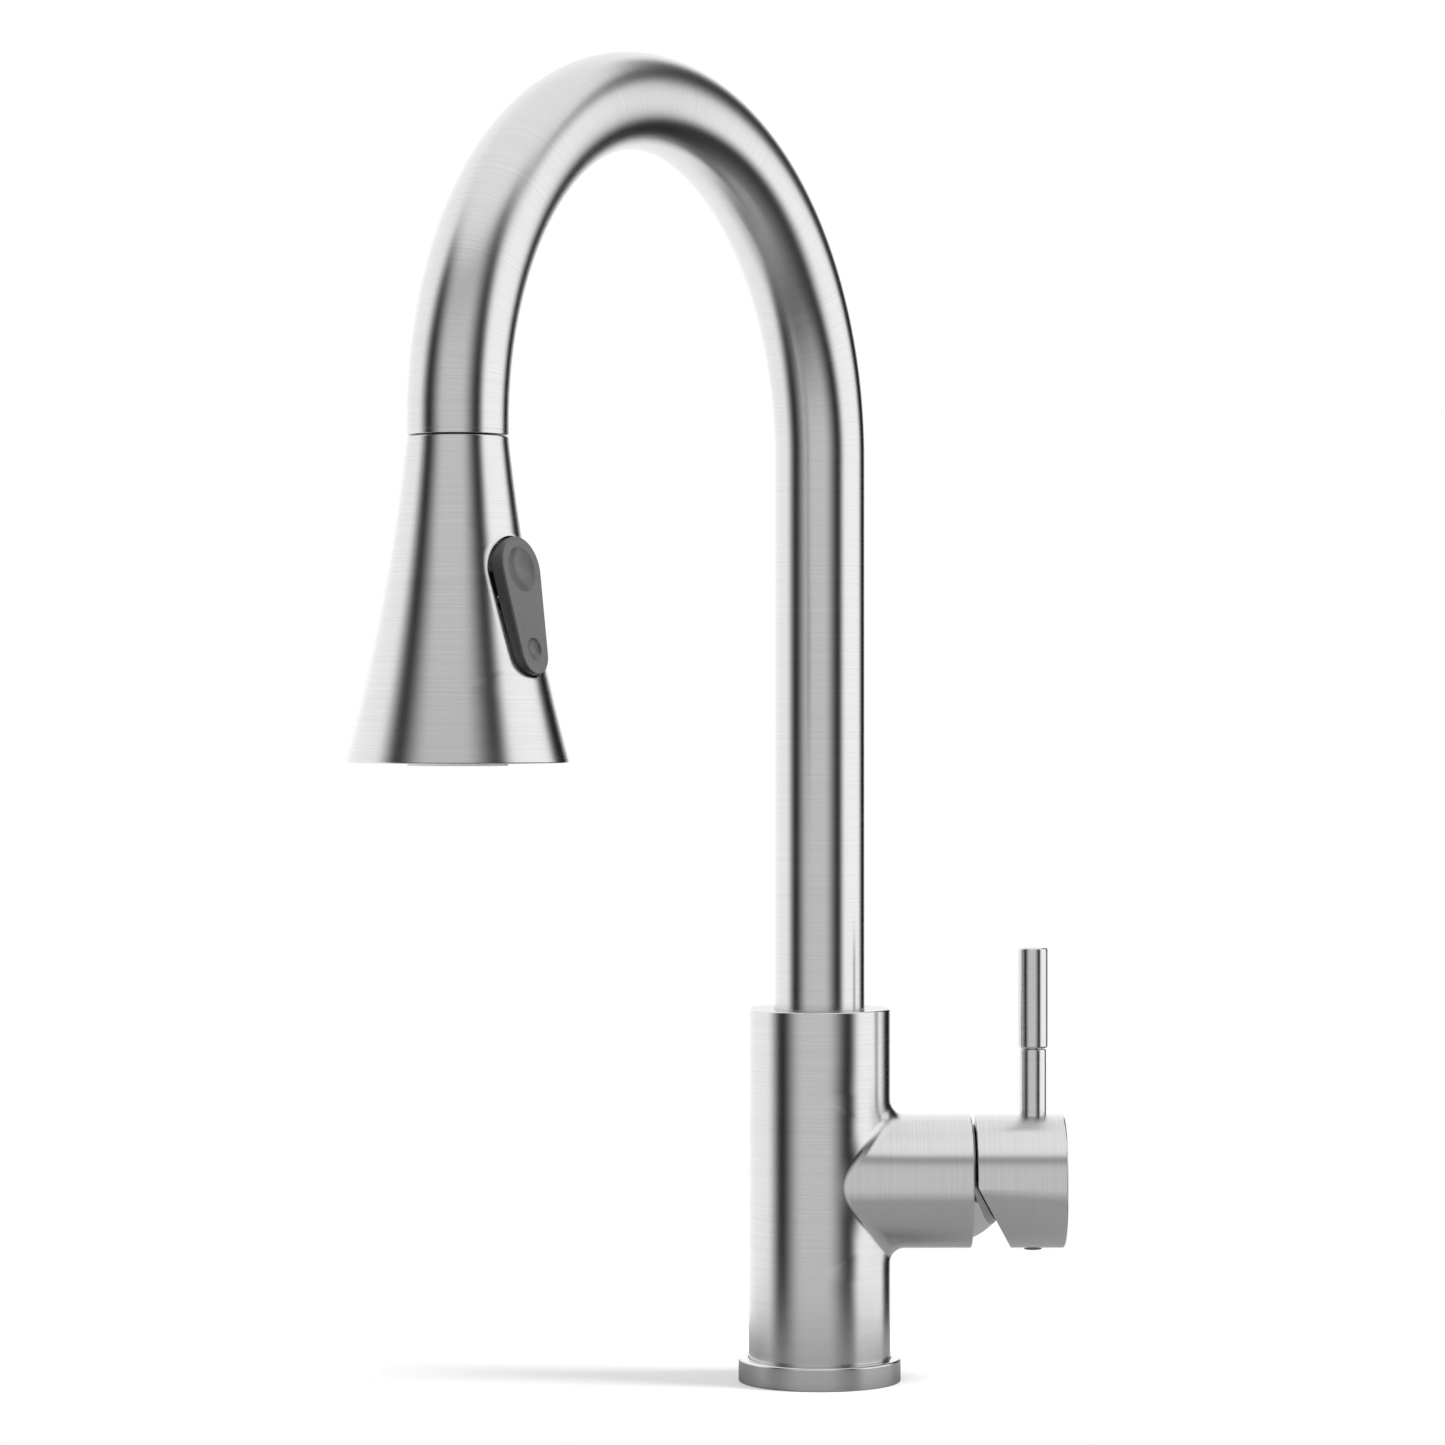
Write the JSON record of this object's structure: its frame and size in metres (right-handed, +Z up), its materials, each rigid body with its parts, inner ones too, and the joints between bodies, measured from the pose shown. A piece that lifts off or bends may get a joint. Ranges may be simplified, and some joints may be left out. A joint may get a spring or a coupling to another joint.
{
  "type": "pull down kitchen faucet",
  "caption": "Single-lever kitchen faucet: column body, high arched swivel spout and a flared pull-down spray head with a rocker diverter.",
  "frame": {"origin": "on the body's axis at the deck surface, the underside of the base ring", "axes": "+Z up along the body, -Y towards the user, +X along the valve's axis towards the handle; the spout rests turned about 31 degrees from -Y towards -X"},
  "size_m": [0.2087, 0.2246, 0.4681],
  "materials": {
    "brushed_steel": "fine brushed stainless, grain round the turned parts",
    "polished_steel": "polished",
    "brass": "machined",
    "seal_rubber": "moulded",
    "bush_plastic": "moulded",
    "valve_ceramic": "lapped ceramic",
    "dark_steel": "black oxide",
    "plug_plastic": "grey satin",
    "rocker_plastic": "dark grey satin",
    "head_plastic": "light grey",
    "nozzle_rubber": "soft grey",
    "braided_hose": "braided nylon over a hose"
  },
  "bodies": {
    "base": {"base_ring": "brushed_steel", "deck_gasket": "seal_rubber", "shank": "brass", "faucet_body": "brushed_steel", "valve_block": "brass", "swivel_bush_upper": "bush_plastic", "swivel_bush_lower": "bush_plastic", "spout_orings": "seal_rubber", "inlet_seals": "seal_rubber", "cartridge_base": "bush_plastic", "fixed_disc": "valve_ceramic", "cartridge_housing": "bush_plastic", "cartridge_nut": "brass", "bonnet": "polished_steel"},
    "valve_rotor": {"stem_carrier": "bush_plastic", "stem_pin": "polished_steel"},
    "mixing_disc": {"moving_disc": "valve_ceramic", "disc_carrier": "bush_plastic"},
    "handle": {"stem": "polished_steel", "handle_cap": "brushed_steel", "lever_rod": "brushed_steel", "lever_grip": "brushed_steel", "set_screw": "dark_steel", "screw_plug": "plug_plastic"},
    "spout": {"spout_tube": "brushed_steel", "spout_foot": "brass", "retaining_clip": "polished_steel", "dock_collar": "polished_steel", "dock_magnet": "dark_steel", "hose_guide": "bush_plastic", "spray_hose": "braided_hose", "hose_coupling": "brass"},
    "hose_end": {"hose_run": "braided_hose", "hose_ferrule": "polished_steel", "hose_oring": "seal_rubber"},
    "spray_head": {"head_shell": "brushed_steel", "head_neck": "rocker_plastic", "armature_ring": "polished_steel", "head_core": "head_plastic", "filter_washer": "seal_rubber", "check_valve": "bush_plastic", "nozzle_mat": "nozzle_rubber", "face_plate": "head_plastic", "stream_insert": "head_plastic", "aerator": "bush_plastic", "rocker_frame": "rocker_plastic", "rocker_pin": "polished_steel"},
    "rocker": {"rocker": "rocker_plastic"},
    "diverter": {"diverter_spool": "bush_plastic", "diverter_spring": "polished_steel"}
  },
  "joints": [
    {"name": "spout_swivel", "type": "hinge", "parent": "base", "child": "spout", "pos_m": [0, 0, 0.1], "axis": [0, 0, 1], "continuous": true},
    {"name": "handle_turn", "type": "hinge", "parent": "base", "child": "valve_rotor", "pos_m": [0.0405, 0, 0.062], "axis": [1, 0, 0], "range_deg": [-45, 45]},
    {"name": "handle_tilt", "type": "hinge", "parent": "valve_rotor", "child": "handle", "pos_m": [0.0405, 0, 0.062], "axis": [0, 1, 0], "range_deg": [0, 25]},
    {"name": "disc_slide", "type": "slide", "parent": "valve_rotor", "child": "mixing_disc", "axis": [0, 0, 1], "range_m": [0, 0.00697]},
    {"name": "head_pull", "type": "slide", "parent": "spout", "child": "hose_end", "axis": [0, 0, -1], "range_m": [0, 0.45], "stiffness_N_per_m": 8, "springref_m": -1.5, "deforming": ["hose_run"]},
    {"name": "head_turn", "type": "hinge", "parent": "hose_end", "child": "spray_head", "pos_m": [-0.10226, -0.16885, 0.25], "axis": [0, 0, 1], "continuous": true},
    {"name": "rocker_tilt", "type": "hinge", "parent": "spray_head", "child": "rocker", "pos_m": [-0.08747, -0.1778, 0.2357], "axis": [0.518, 0.8554, 0], "range_deg": [-4, 4]},
    {"name": "diverter_shift", "type": "slide", "parent": "spray_head", "child": "diverter", "axis": [0, 0, 1], "range_m": [-0.00065, 0.00065], "stiffness_N_per_m": 0.007613, "springref_m": 1, "deforming": ["diverter_spring"]}
  ],
  "couplings": [
    {"joint": "disc_slide", "follows": "handle_tilt", "m_per_rad": 0.015981},
    {"joint": "diverter_shift", "follows": "rocker_tilt", "m_per_rad": 0.008985}
  ]
}
